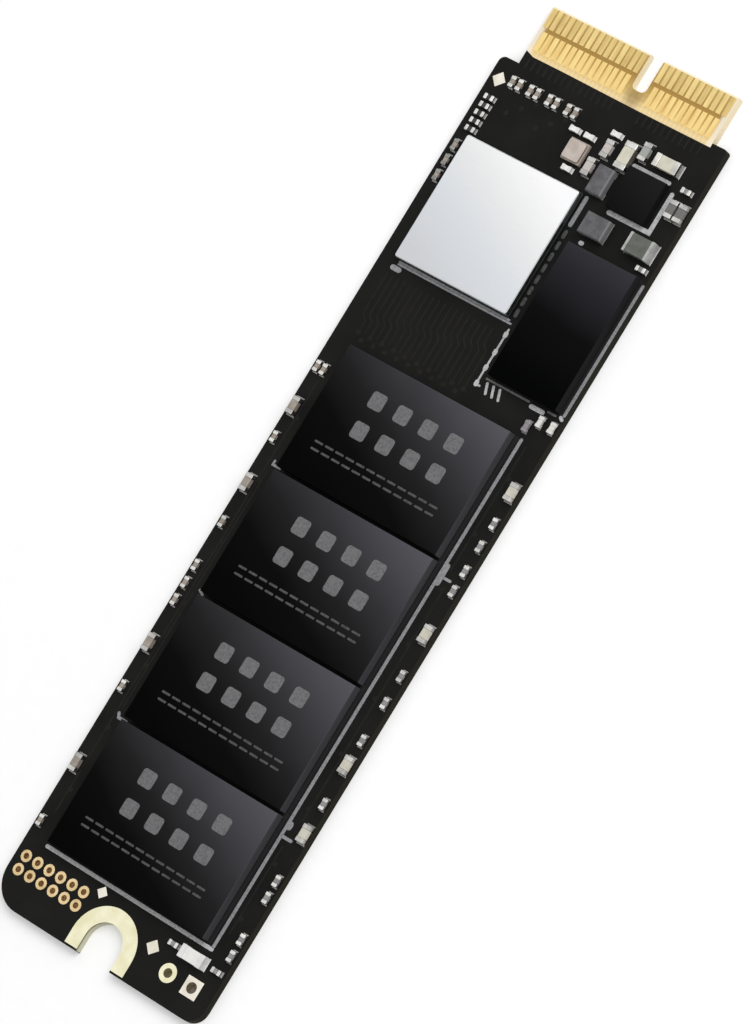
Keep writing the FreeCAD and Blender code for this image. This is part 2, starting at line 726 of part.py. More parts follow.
regulator_x, regulator_y = from_right_front("regulator")
block(
    "power_regulator", regulator_x, regulator_y, "size.board_thickness",
    "size.regulator_width", "size.regulator_depth", "size.regulator_height", "size.package_edge",
)
for part, turned in [("upright_inductor", True), ("flat_inductor", False)]:
    x, y = from_right_front(part)
    width = "size.%s_width" % part
    depth = "size.%s_depth" % part
    block(
        part, x, y, "size.board_thickness + size.inductor_terminal_height", width, depth,
        "size.inductor_height - size.inductor_terminal_height", "size.inductor_edge",
    )
    terminals = new_body(
        part + "_terminals", x + " - %s / 2" % width, y + " - %s / 2" % depth, "size.board_thickness",
    )
    near = "size.inductor_terminal_length"
    far_x = width + " - " + near
    far_y = depth + " - " + near
    if turned:
        feet = [
            [("0", "0"), (width, "0"), (width, near), ("0", near)],
            [("0", far_y), (width, far_y), (width, depth), ("0", depth)],
        ]
    else:
        feet = [
            [("0", "0"), (near, "0"), (near, depth), ("0", depth)],
            [(far_x, "0"), (width, "0"), (width, depth), (far_x, depth)],
        ]
    feet_outline = new_sketch(terminals, part + "_feet")
    polygons(feet_outline, feet)
    pad(terminals, feet_outline, "size.inductor_terminal_height")

crystal_x = "size.crystal_x - layout.board_width / 2"
crystal_y = "layout.board_length / 2 - size.crystal_y"
crystal = new_body("crystal_base", crystal_x, crystal_y, "size.board_thickness")
crystal_outline = new_sketch(crystal, "crystal_outline")
centred_rectangle(crystal_outline, "size.crystal_width", "size.crystal_depth")
pad(crystal, crystal_outline, "size.crystal_base_height")
crystal_lid = new_body(
    "crystal_lid", crystal_x, crystal_y, "size.board_thickness + size.crystal_base_height",
)
crystal_cover = new_sketch(crystal_lid, "crystal_cover")
centred_rectangle(
    crystal_cover,
    "size.crystal_width - 2 * size.crystal_lid_setback",
    "size.crystal_depth - 2 * size.crystal_lid_setback",
)
pad(crystal_lid, crystal_cover, "size.crystal_lid_height")
dress(crystal_lid, "Fillet", "crystal_corners", upright, "Radius", "size.crystal_corner")


# Chip sets: the ceramic blocks in one body, their metal ends in another
def chip_set(set_name, chip, side, datum, places):
    length, width, height, end = ["size.%s_%s" % (chip, k) for k in ("length", "width", "height", "end")]
    across_from = {"left": "size.%s", "right": "layout.board_width - size.%s"}[side]
    along_from = {
        "front": "layout.board_length - size.%s",
        "tail": "size.%s",
        "stack": "layout.stack_end + size.%s",
    }[datum]
    blocks = []
    ends = []
    for number, (across, along, way) in enumerate(places, start=1):
        x = across_from % ("%s_%d_x" % (set_name, number))
        y = along_from % ("%s_%d_y" % (set_name, number))
        core_length = "(%s - 2 * %s)" % (length, end)
        core_width = "(%s - 2 * size.end_lip)" % width
        reach = "(%s - %s) / 2" % (length, end)
        if way == "along":
            blocks.append(box_outline(x, y, core_width, core_length))
            ends.append(box_outline(x, "%s - %s" % (y, reach), width, end))
            ends.append(box_outline(x, "%s + %s" % (y, reach), width, end))
        else:
            blocks.append(box_outline(x, y, core_length, core_width))
            ends.append(box_outline("%s - %s" % (x, reach), y, end, width))
            ends.append(box_outline("%s + %s" % (x, reach), y, end, width))
    for name, outlines, bottom, thickness in [
        (set_name, blocks, "size.end_lip", height + " - 2 * size.end_lip"),
        (set_name + "_ends", ends, "0", height),
    ]:
        body = board_body(name, "size.board_thickness + " + bottom)
        outline = new_sketch(body, name + "_outline")
        polygons(outline, outlines)
        pad(body, outline, thickness)


for chips in CHIP_SETS:
    chip_set(*chips)

# Every object has to be sound before any file is written
doc.recompute()
for item in doc.Objects:
    if "Invalid" in item.State or "Error" in item.State:
        raise RuntimeError("%s is not sound: %s" % (item.Name, item.State))
for node in nodes:
    if node.Shape.isNull() or not node.Shape.isValid() or not node.Shape.Solids:
        raise RuntimeError("%s has no sound solid" % node.Label)

os.makedirs("parts", exist_ok=True)
for node in nodes:
    node.Shape.exportStep("parts/%s.step" % node.Label)
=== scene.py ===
import json
import math
from typing import NamedTuple

import bmesh
import bpy
from mathutils import Matrix, Vector

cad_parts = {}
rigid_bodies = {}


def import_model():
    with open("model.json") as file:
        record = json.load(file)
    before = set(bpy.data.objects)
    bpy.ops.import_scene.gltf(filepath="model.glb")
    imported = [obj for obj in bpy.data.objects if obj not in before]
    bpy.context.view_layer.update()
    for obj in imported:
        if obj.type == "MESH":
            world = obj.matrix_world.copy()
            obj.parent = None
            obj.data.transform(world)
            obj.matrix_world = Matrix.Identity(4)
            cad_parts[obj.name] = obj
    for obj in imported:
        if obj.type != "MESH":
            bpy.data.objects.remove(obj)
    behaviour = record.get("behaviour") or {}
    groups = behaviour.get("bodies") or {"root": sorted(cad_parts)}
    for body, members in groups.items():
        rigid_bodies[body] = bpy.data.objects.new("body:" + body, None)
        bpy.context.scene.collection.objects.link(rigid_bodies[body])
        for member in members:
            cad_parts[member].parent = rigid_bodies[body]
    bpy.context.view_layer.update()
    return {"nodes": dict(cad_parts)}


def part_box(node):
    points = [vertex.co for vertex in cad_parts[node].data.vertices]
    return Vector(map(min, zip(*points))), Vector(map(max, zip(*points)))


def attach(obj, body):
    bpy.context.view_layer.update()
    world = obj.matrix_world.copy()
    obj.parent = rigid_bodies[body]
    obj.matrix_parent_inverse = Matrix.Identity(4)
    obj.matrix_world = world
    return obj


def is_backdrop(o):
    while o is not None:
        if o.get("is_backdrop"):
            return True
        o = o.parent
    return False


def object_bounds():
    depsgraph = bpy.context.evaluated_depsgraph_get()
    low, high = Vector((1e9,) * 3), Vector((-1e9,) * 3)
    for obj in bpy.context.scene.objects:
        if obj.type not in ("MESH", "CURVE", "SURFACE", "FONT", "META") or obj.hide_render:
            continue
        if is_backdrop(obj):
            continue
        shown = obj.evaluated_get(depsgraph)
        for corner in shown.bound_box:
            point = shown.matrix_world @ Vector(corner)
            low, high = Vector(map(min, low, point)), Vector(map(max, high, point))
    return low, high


MM = 0.001

for leftover in list(bpy.data.objects):
    bpy.data.objects.remove(leftover, do_unlink=True)
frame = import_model()


# Places on the board, in millimetres: across from its middle, along from its tail and above its top

board_low, board_high = (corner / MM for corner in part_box("circuit_board"))
BOARD_HALF = board_high.x
BOARD_LENGTH = board_high.y - board_low.y
BOARD_THICKNESS = board_high.z - board_low.z
ORIGIN = Vector((0.0, board_low.y, board_high.z))


class Sides(NamedTuple):
    """Where a box lies on the board."""

    left: float
    right: float
    near: float
    far: float
    top: float

    @property
    def near_left(self):
        return Vector((self.left, self.near))

    @property
    def near_right(self):
        return Vector((self.right, self.near))

    @property
    def far_left(self):
        return Vector((self.left, self.far))


def point(x, y, z):
    """A place on the board as a point of the frame, in metres."""
    return (Vector((x, y, z)) + ORIGIN) * MM


def sides(node):
    """The sides of a node's box."""
    low, high = (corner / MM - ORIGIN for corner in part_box(node))
    return Sides(low.x, high.x, low.y, high.y, high.z)


def islands(node):
    """The low and high corners of each separate solid in a node, from left to right."""
    mesh = frame["nodes"][node].data
    places = [tuple(round(c / MM, 4) for c in vertex.co) for vertex in mesh.vertices]
    leader = {place: place for place in places}

    def lead(place):
        while leader[place] != place:
            leader[place] = leader[leader[place]]
            place = leader[place]
        return place

    for polygon in mesh.polygons:
        first = lead(places[polygon.vertices[0]])
        for index in polygon.vertices[1:]:
            leader[lead(places[index])] = first
    groups = {}
    for place in leader:
        groups.setdefault(lead(place), []).append(place)
    boxes = []
    for members in groups.values():
        columns = list(zip(*members))
        boxes.append((Vector(map(min, columns)) - ORIGIN, Vector(map(max, columns)) - ORIGIN))
    return sorted(boxes, key=lambda box: tuple(box[0]))


# Packages and holes that the finishes and the printed lines are set out from
carrier = sides("controller_substrate")
memory = sides("dram_package")
regulator = sides("power_regulator")
flash = {number: sides("nand_package_%d" % number) for number in range(1, 5)}
flash_row = flash[1]._replace(near=flash[4].near)
inductor = sides("flat_inductor")
round_hole = sides("round_hole_plating")
square_hole = sides("square_hole_plating")

# Edge connector: the bare strip behind the contacts, and the blade beside the outermost one
BARE_STRIP = 0.6
CONTACT_INSET = 0.16
NECK = sides("rear_contacts").near - BARE_STRIP
contacts = sides("front_contacts")
TONGUE_MIDDLE = (contacts.left + contacts.right) / 2
TONGUE_HALF = (contacts.right - contacts.left) / 2 + CONTACT_INSET
TONGUE_LEFT = TONGUE_MIDDLE - TONGUE_HALF

# Key slot: the widest gap between two contacts
fingers = islands("front_contacts")
gaps = [(right[0].x - left[1].x, (right[0].x + left[1].x) / 2) for left, right in zip(fingers, fingers[1:])]
_, KEY_MIDDLE = max(gaps)

# Screw notch, from the foil around it
LAND_WIDTH = 1.4
land = sides("screw_land")
NOTCH_MIDDLE = (land.left + land.right) / 2
NOTCH_RADIUS = (land.right - land.left) / 2 - LAND_WIDTH
NOTCH_FAR = land.far - LAND_WIDTH

# How far a coloured area reaches past the faces that it has to cover
SLACK = 0.05


# Materials

class Finish:
    """A material, with short ways to wire its nodes."""

    def __init__(self, name, metallic=0.0, specular=0.5):
        self.material = bpy.data.materials.new(name)
        self.material.use_nodes = True
        self.tree = self.material.node_tree
        self.shader = self.tree.nodes["Principled BSDF"]
        self.shader.inputs["Metallic"].default_value = metallic
        self.shader.inputs["Specular IOR Level"].default_value = specular

    def node(self, kind, inputs=(), **settings):
        """A node with its settings; inputs are sockets to link or plain values, in order."""
        made = self.tree.nodes.new(kind)
        for key, value in settings.items():
            setattr(made, key, value)
        for socket, value in zip(made.inputs, inputs):
            self.feed(socket, value)
        return made

    def feed(self, socket, value):
        """Link a socket to the value if that is a socket too, or else set it."""
        if isinstance(value, bpy.types.NodeSocket):
            self.tree.links.new(value, socket)
        elif value is not None:
            socket.default_value = value

    def coords(self, kind="Object"):
        return self.node("ShaderNodeTexCoord").outputs[kind]

    def normal(self):
        return self.node("ShaderNodeNewGeometry").outputs["Normal"]

    def vector(self, operation, a, b=None):
        return self.node("ShaderNodeVectorMath", [a, b], operation=operation)

    def parts_of(self, vector):
        """The three parts of a vector."""
        return self.node("ShaderNodeSeparateXYZ", [vector]).outputs

    def places(self):
        """Where a spot lies on the board, in millimetres: across, along and above."""
        from_origin = self.vector("SUBTRACT", self.coords(), ORIGIN * MM).outputs[0]
        return self.parts_of(self.vector("DIVIDE", from_origin, (MM, MM, MM)).outputs[0])

    def math(self, operation, a, b=None):
        return self.node("ShaderNodeMath", [a, b], operation=operation).outputs[0]

    def sum_of(self, *terms):
        """The terms added up, each a value and its share."""
        total, *others = [self.math("MULTIPLY", value, share) for value, share in terms]
        for other in others:
            total = self.math("ADD", total, other)
        return total

    def away(self, value, place):
        """How far a value is from a place."""
        return self.math("ABSOLUTE", self.math("SUBTRACT", value, place))

    def within(self, value, place, reach):
        """1 where a value is within reach of a place, else 0."""
        return self.math("LESS_THAN", self.away(value, place), reach)

    def noise(self, scale, detail=3.0, coords=None):
        made = self.node("ShaderNodeTexNoise")
        self.feed(made.inputs["Vector"], coords or self.coords())
        made.inputs["Scale"].default_value = scale
        made.inputs["Detail"].default_value = detail
        return made.outputs["Fac"]

    def wave(self, direction, scale, distortion):
        made = self.node("ShaderNodeTexWave", bands_direction=direction)
        self.feed(made.inputs["Vector"], self.coords())
        made.inputs["Scale"].default_value = scale
        made.inputs["Distortion"].default_value = distortion
        return made.outputs["Fac"]

    def stretched(self, factors):
        """Coordinates multiplied by a factor along each axis."""
        return self.vector("MULTIPLY", self.coords(), factors).outputs[0]

    def span(self, value, low, high, start=0.0, end=1.0):
        """The value, moved from the range start to end into the range low to high."""
        made = self.node("ShaderNodeMapRange")
        for key, number in (("From Min", start), ("From Max", end), ("To Min", low), ("To Max", high)):
            made.inputs[key].default_value = number
        self.feed(made.inputs["Value"], value)
        return made.outputs["Result"]

    def ramp(self, factor, stops):
        """A colour that runs through the stops, each a place from 0 to 1 and a linear colour."""
        made = self.node("ShaderNodeValToRGB", [factor])
        elements = made.color_ramp.elements
        while len(elements) < len(stops):
            elements.new(0.5)
        for element, (place, colour) in zip(elements, stops):
            element.position = place
            element.color = (*colour, 1.0)
        return made.outputs["Color"]

    def mix(self, factor, a, b):
        """From colour a at factor 0 to colour b at factor 1."""
        made = self.node("ShaderNodeMix", data_type="RGBA")
        self.feed(made.inputs[0], factor)
        for socket, value in ((made.inputs[6], a), (made.inputs[7], b)):
            self.feed(socket, (*value, 1.0) if isinstance(value, tuple) else value)
        return made.outputs[2]

    def bump(self, height, depth, strength):
        """A bump whose full height is the depth in millimetres."""
        made = self.node("ShaderNodeBump")
        made.inputs["Strength"].default_value = strength
        made.inputs["Distance"].default_value = depth * MM
        self.feed(made.inputs["Height"], height)
        return made.outputs["Normal"]

    def leaning(self, start=0.3, end=0.8):
        """How far a face leans to the right: none at the start, full at the end."""
        right, _, _ = self.parts_of(self.normal())
        return self.span(right, 0.0, 1.0, start, end)

    def wear(self, colour, roughness, normal=None):
        """Wire the shader and give the finished material."""
        for key, value in (("Base Color", colour), ("Roughness", roughness), ("Normal", normal)):
            self.feed(self.shader.inputs[key], value)
        return self.material


def metal(name, dull, bright, roughness, metallic=1.0):
    """A metal whose tone and polish drift from patch to patch, with a fine grain."""
    f = Finish(name, metallic=metallic)
    drift = f.noise(scale=900.0, detail=2.0)
    grain = f.noise(scale=14000.0, detail=2.0)
    colour = f.ramp(f.sum_of((drift, 0.75), (grain, 0.25)), [(0.32, dull), (0.68, bright)])
    polish = f.span(grain, roughness - 0.06, roughness + 0.08)
    return f.wear(colour, polish, f.bump(grain, depth=0.003, strength=0.3))


def ceramic(name, dark, pale, roughness=0.5, specular=0.35, painted_right_shading=None):
    """A fired or moulded body with a mottled surface; its right sides may be given painted shading, a colour
    for how light falls on them.
    """
    f = Finish(name, specular=specular)
    drift = f.noise(scale=1500.0)
    grain = f.noise(scale=16000.0, detail=2.0)
    colour = f.ramp(f.sum_of((drift, 0.6), (grain, 0.4)), [(0.35, dark), (0.65, pale)])
    # Painted shading on the sides that face right
    if painted_right_shading:
        colour = f.mix(f.leaning(), colour, painted_right_shading)
    polish = f.span(grain, roughness - 0.08, roughness + 0.08)
    return f.wear(colour, polish, f.bump(grain, depth=0.004, strength=0.4))


def chip_tones(name, tones):
    """Ceramic whose tone changes from chip to chip; each tone has its place across the board."""
    f = Finish(name, specular=0.35)
    x, _, _ = f.places()
    grain = f.noise(scale=9000.0)
    stops = [(place / BOARD_HALF, tone) for place, tone in tones]
    colour = f.ramp(f.span(x, 0.0, 1.0, start=0.0, end=BOARD_HALF), stops)
    colour = f.mix(f.span(grain, 0.0, 0.4, start=0.35, end=0.7), colour, (0.24, 0.23, 0.22))
    return f.wear(colour, f.span(grain, 0.42, 0.58), f.bump(grain, depth=0.004, strength=0.4))


def mould(name, across, along, painted_wall_shading, tones):
    """Black moulding compound with a fine sandy grain; a painted reflection brightens it towards one corner
    of the package, and its right sides get painted shading.
    """
    f = Finish(name, specular=0.012)
    u, v, _ = f.parts_of(f.coords("Generated"))
    grain = f.noise(scale=11000.0)
    cloud = f.noise(scale=260.0, detail=2.0)
    # Painted reflection: the colour brightens towards one corner of each package
    place = f.sum_of((u, across), (v, along))
    place = f.math("ADD", place, f.span(grain, -0.02, 0.02))
    place = f.math("ADD", place, f.span(cloud, -0.03, 0.03))
    # Painted shading: sides that face right get a colour of their own for how light falls on them
    colour = f.mix(f.leaning(), f.ramp(place, tones), painted_wall_shading)
    return f.wear(colour, f.span(grain, 0.42, 0.62), f.bump(grain, depth=0.004, strength=0.35))


def lid_finish():
    """Plated lid with a rolled grain; a painted reflection makes one corner brighter than the opposite one,
    and painted shade darkens its right sides towards the bottom.
    """
    f = Finish("lid_metal", metallic=1.0)
    u, v, w = f.parts_of(f.coords("Generated"))
    rolled = f.noise(scale=600.0, detail=4.0, coords=f.stretched((1.0, 14.0, 1.0)))
    # Painted reflection: brighter towards one corner
    place = f.math("ADD", f.sum_of((u, 0.35), (v, 0.65)), f.span(rolled, -0.06, 0.06))
    colour = f.ramp(place, [
        (0.10, (0.60, 0.615, 0.64)),
        (0.43, (0.69, 0.72, 0.75)),
        (0.60, (0.78, 0.785, 0.79)),
        (0.90, (0.94, 0.94, 0.95)),
    ])
    # Painted shade on the sides that face right, darker towards the bottom
    painted_wall_shading = f.ramp(w, [(0.1, (0.06, 0.062, 0.064)), (0.55, (0.20, 0.205, 0.21)), (0.95, (0.46, 0.465, 0.47))])
    colour = f.mix(f.leaning(start=0.25, end=0.6), colour, painted_wall_shading)
    return f.wear(colour, f.span(rolled, 0.30, 0.42), f.bump(rolled, depth=0.002, strength=0.2))


def contact_finish(name, dull, bright):
    """Hard gold; each contact has its own tone, with wipe marks along it."""
    f = Finish(name, metallic=1.0)
    own_tone = f.noise(scale=1.0, detail=0.0, coords=f.stretched((1450.0, 0.0, 0.0)))
    wipes = f.noise(scale=700.0, coords=f.stretched((9.0, 1.0, 1.0)))
    patches = f.noise(scale=420.0, detail=2.0)
    tone = f.sum_of((own_tone, 0.4), (wipes, 0.3), (patches, 0.3))
    colour = f.ramp(tone, [(0.35, dull), (0.65, bright)])
    return f.wear(colour, f.span(wipes, 0.28, 0.44), f.bump(wipes, depth=0.002, strength=0.2))


def ink_finish(name, thin, full):
    """Printed ink, a little uneven."""
    f = Finish(name, specular=0.2)
    spread = f.noise(scale=5200.0, detail=4.0)
    colour = f.ramp(spread, [(0.3, thin), (0.62, full)])
    return f.wear(colour, f.span(spread, 0.55, 0.75), f.bump(spread, depth=0.003, strength=0.4))


# Board: mask, bare tongue and cut edges

FLAT_FACING = 0.9
LAMINATE_TONES = [
    (0.00, (0.90, 0.72, 0.42)),
    (0.12, (0.92, 0.70, 0.34)),
    (0.22, (0.72, 0.51, 0.21)),
    (0.35, (0.58, 0.39, 0.13)),
    (0.55, (0.41, 0.245, 0.065)),
    (1.00, (0.54, 0.40, 0.15)),
]
# The notch's cut face: pale, with painted shade near its top
NOTCH_TONES = [
    (0.00, (0.66, 0.64, 0.50)),
    (0.66, (0.62, 0.60, 0.46)),
    (0.86, (0.22, 0.21, 0.13)),
    (1.00, (0.20, 0.19, 0.12)),
]


def tongue_area(f, x, y):
    """1 on the tongue, else 0. The mask's edge rises a little towards the left and more at the corner."""
    corner_rise = f.span(x, 0.3, 0.0, start=TONGUE_LEFT, end=TONGUE_LEFT + 0.9)
    slow_rise = f.span(x, 0.1, 0.0, start=TONGUE_LEFT + 4.1, end=TONGUE_LEFT + 13.1)
    mask_edge = f.math("ADD", f.math("ADD", corner_rise, slow_rise), NECK)
    on_blades = f.within(x, TONGUE_MIDDLE, TONGUE_HALF + SLACK)
    return f.math("MULTIPLY", on_blades, f.math("GREATER_THAN", y, mask_edge))


def notch_area(f, x, y):
    """1 inside the screw notch, else 0."""
    across = f.within(x, NOTCH_MIDDLE, NOTCH_RADIUS + SLACK)
    before_end = f.math("LESS_THAN", y, NOTCH_FAR + SLACK)
    past_tail = f.math("GREATER_THAN", y, SLACK)
    return f.math("MULTIPLY", f.math("MULTIPLY", across, before_end), past_tail)


def mask_colour(f, x, y, tone):
    """Black mask, with a band of painted light beside the right walls of the tall packages, where shade
    falls.
    """
    colour = f.ramp(tone, [(0.3, (0.0082, 0.0080, 0.0076)), (0.7, (0.0150, 0.0146, 0.0138))])
    for package, strength in ((flash_row, 0.9), (memory, 0.6)):
        beside = f.within(y, (package.near + package.far) / 2, (package.far - package.near) / 2)
        # Painted light that lifts the shade beside the package's right side
        painted_light_band = f.span(f.away(x, package.right), strength, 0.0, start=0.15, end=0.4)
        colour = f.mix(f.math("MULTIPLY", painted_light_band, beside), colour, (0.027, 0.0265, 0.027))
    return colour


def laminate_colour(f, x, y):
    """Bare laminate with a faint weave: pale at the mask and the sides, darker by the key slot's floor."""
    colour = f.ramp(f.span(y, 0.0, 1.0, start=NECK, end=BOARD_LENGTH), LAMINATE_TONES)
    threads = [f.wave(direction, scale=700.0, distortion=1.0) for direction in ("X", "Y")]
    weave = f.sum_of(*[(thread, 0.125) for thread in threads])
    colour = f.mix(weave, colour, (0.36, 0.23, 0.08))
    from_middle = f.away(x, TONGUE_MIDDLE)
    margin = f.span(from_middle, 0.0, 0.85, start=TONGUE_HALF - 0.65, end=TONGUE_HALF - 0.3)
    colour = f.mix(margin, colour, (0.93, 0.84, 0.68))
    to_key = [f.math("SUBTRACT", x, KEY_MIDDLE), f.math("SUBTRACT", y, NECK + 0.8)]
    to_key = f.node("ShaderNodeCombineXYZ", to_key).outputs[0]
    from_key = f.vector("LENGTH", to_key).outputs["Value"]
    return f.mix(f.span(from_key, 0.55, 0.0, start=0.4, end=1.2), colour, (0.22, 0.15, 0.06))


def edge_colour(f, z, tongue, notch):
    """The laminate's layers: dark on most cut edges, pale on the tongue, and with painted shade high in the
    notch.
    """
    layers = f.wave("Z", scale=1900.0, distortion=0.6)
    dark = f.mix(layers, (0.009, 0.0082, 0.006), (0.026, 0.023, 0.015))
    pale = f.mix(layers, (0.78, 0.65, 0.43), (0.97, 0.87, 0.64))
    notch_wall = f.ramp(f.span(z, 0.0, 1.0, start=-BOARD_THICKNESS, end=0.0), NOTCH_TONES)
    return f.mix(notch, f.mix(tongue, dark, pale), notch_wall)


def board_finish():
    """Black mask on the faces, bare laminate on the tongue, and the laminate's layers on the cut edges."""
    f = Finish("board_mask", specular=0.04)
    x, y, z = f.places()
    _, _, facing = f.parts_of(f.normal())
    flat = f.math("GREATER_THAN", f.math("ABSOLUTE", facing), FLAT_FACING)
    grain = f.noise(scale=9000.0)
    cloud = f.noise(scale=240.0)
    tone = f.sum_of((cloud, 0.6), (grain, 0.4))
    tongue = tongue_area(f, x, y)
    face = f.mix(tongue, mask_colour(f, x, y, tone), laminate_colour(f, x, y))
    side = edge_colour(f, z, tongue, notch_area(f, x, y))
    polish = f.span(grain, 0.38, 0.55)
    return f.wear(f.mix(flat, side, face), polish, f.bump(tone, depth=0.006, strength=0.4))


# Tones of the finishes: linear colours

METALS = {
    "land_gold": dict(dull=(0.78, 0.74, 0.48), bright=(0.92, 0.90, 0.68), roughness=0.36),
    "hole_gold": dict(dull=(0.60, 0.43, 0.205), bright=(0.85, 0.67, 0.40), roughness=0.38),
    "bare_metal": dict(dull=(0.73, 0.68, 0.57), bright=(0.91, 0.87, 0.78), roughness=0.34),
    "tinned_metal": dict(dull=(0.48, 0.47, 0.44), bright=(0.86, 0.85, 0.81), roughness=0.32),
    "soft_tin": dict(dull=(0.34, 0.335, 0.32), bright=(0.64, 0.63, 0.60), roughness=0.36),
    "dull_tin": dict(dull=(0.17, 0.17, 0.16), bright=(0.40, 0.40, 0.375), roughness=0.42),
    "solder": dict(dull=(0.30, 0.295, 0.285), bright=(0.52, 0.51, 0.50), roughness=0.34, metallic=0.35),
    "crystal_metal": dict(dull=(0.44, 0.38, 0.34), bright=(0.58, 0.51, 0.46), roughness=0.40),
}
CERAMICS = {
    "matte_tin": dict(dark=(0.66, 0.655, 0.64), pale=(0.84, 0.835, 0.82), roughness=0.35, specular=0.6),
    "terminal": dict(dark=(0.30, 0.305, 0.29), pale=(0.50, 0.505, 0.48), roughness=0.35, specular=0.6),
    "carrier": dict(dark=(0.010, 0.016, 0.011), pale=(0.022, 0.034, 0.024)),
    "silicon": dict(dark=(0.06, 0.06, 0.07), pale=(0.10, 0.10, 0.11), roughness=0.2),
    # Painted light on the ferrite's right sides
    "ferrite": dict(
        dark=(0.070, 0.067, 0.072), pale=(0.136, 0.132, 0.139), roughness=0.6, painted_right_shading=(0.20, 0.198, 0.204),
    ),
    "bulk_body": dict(dark=(0.080, 0.084, 0.072), pale=(0.139, 0.145, 0.128), roughness=0.55),
    "crystal_ceramic": dict(dark=(0.30, 0.25, 0.22), pale=(0.42, 0.36, 0.32)),
    "white_ceramic": dict(dark=(0.78, 0.765, 0.735), pale=(0.90, 0.885, 0.85), roughness=0.4),
    # Painted shade on the input capacitors' right sides
    "large_ceramic": dict(
        dark=(0.55, 0.53, 0.43), pale=(0.72, 0.69, 0.57), roughness=0.45, painted_right_shading=(0.10, 0.10, 0.08),
    ),
    "edge_ceramic": dict(dark=(0.50, 0.48, 0.40), pale=(0.66, 0.635, 0.54), roughness=0.45),
    "capacitor_ceramic": dict(dark=(0.26, 0.225, 0.19), pale=(0.40, 0.35, 0.30)),
    "resistor_body": dict(dark=(0.020, 0.020, 0.022), pale=(0.045, 0.045, 0.050), roughness=0.4),
    "grey_resistor": dict(dark=(0.20, 0.20, 0.205), pale=(0.34, 0.34, 0.345), roughness=0.4),
    "covered_copper": dict(
        dark=(0.0125, 0.0122, 0.0114), pale=(0.0185, 0.0180, 0.0168), roughness=0.42, specular=0.06,
    ),
}
CHIP_TONES = {
    "filter_ceramic": [
        (0.0, (0.60, 0.55, 0.52)),
        (3.5, (0.60, 0.55, 0.52)),
        (4.5, (0.37, 0.385, 0.355)),
        (8.0, (0.37, 0.385, 0.355)),
        (9.0, (0.13, 0.128, 0.12)),
    ],
    "memory_ceramic": [
        (9.5, (0.27, 0.25, 0.27)),
        (9.9, (0.84, 0.82, 0.80)),
        (12.0, (0.80, 0.79, 0.74)),
    ],
}
# Each mould's tones run from dim to bright as a painted reflection across the package; the side colours are
# painted shading on the right sides
MOULDS = {
    "flash_mould": dict(across=0.42, along=0.58, painted_wall_shading=(0.058, 0.058, 0.063), tones=[
        (0.10, (0.0014, 0.0014, 0.0014)),
        (0.34, (0.0034, 0.0034, 0.0036)),
        (0.53, (0.0150, 0.0150, 0.0158)),
        (0.68, (0.0340, 0.0340, 0.0370)),
        (0.88, (0.0700, 0.0700, 0.0805)),
        (1.00, (0.0930, 0.0930, 0.1060)),
    ]),
    "memory_mould": dict(across=0.08, along=0.92, painted_wall_shading=(0.0150, 0.0150, 0.0160), tones=[
        (0.10, (0.0008, 0.0009, 0.0010)),
        (0.50, (0.0042, 0.0042, 0.0046)),
        (0.85, (0.0245, 0.0245, 0.0292)),
        (1.00, (0.0360, 0.0360, 0.0435)),
    ]),
    "regulator_mould": dict(across=0.3, along=0.7, painted_wall_shading=(0.0100, 0.0098, 0.0100), tones=[
        (0.10, (0.0060, 0.0060, 0.0060)),
        (0.90, (0.0132, 0.0129, 0.0131)),
    ]),
}
CONTACTS = {
    "contact_front": dict(dull=(0.60, 0.435, 0.165), bright=(0.93, 0.72, 0.31)),
    "contact_rear": dict(dull=(0.80, 0.55, 0.195), bright=(0.98, 0.77, 0.33)),
}
INKS = {
    "board_ink": dict(thin=(0.21, 0.21, 0.22), full=(0.33, 0.33, 0.345)),
    # bright_ink is also painted light on the flash end rule, which lies in the packages' shade
    "bright_ink": dict(thin=(0.36, 0.36, 0.37), full=(0.56, 0.56, 0.57)),
    "package_ink": dict(thin=(0.108, 0.108, 0.112), full=(0.168, 0.168, 0.173)),
    "faint_ink": dict(thin=(0.044, 0.044, 0.046), full=(0.088, 0.088, 0.092)),
}

finishes = {"board_mask": board_finish(), "lid_metal": lid_finish()}
for make, table in (
    (metal, METALS), (ceramic, CERAMICS), (mould, MOULDS), (contact_finish, CONTACTS), (ink_finish, INKS),
):
    for name, tones in table.items():
        finishes[name] = make(name, **tones)
for name, tones in CHIP_TONES.items():
    finishes[name] = chip_tones(name, tones)


# Dressing of the frame's nodes: the finish, and the width of the rounding on the edges in millimetres

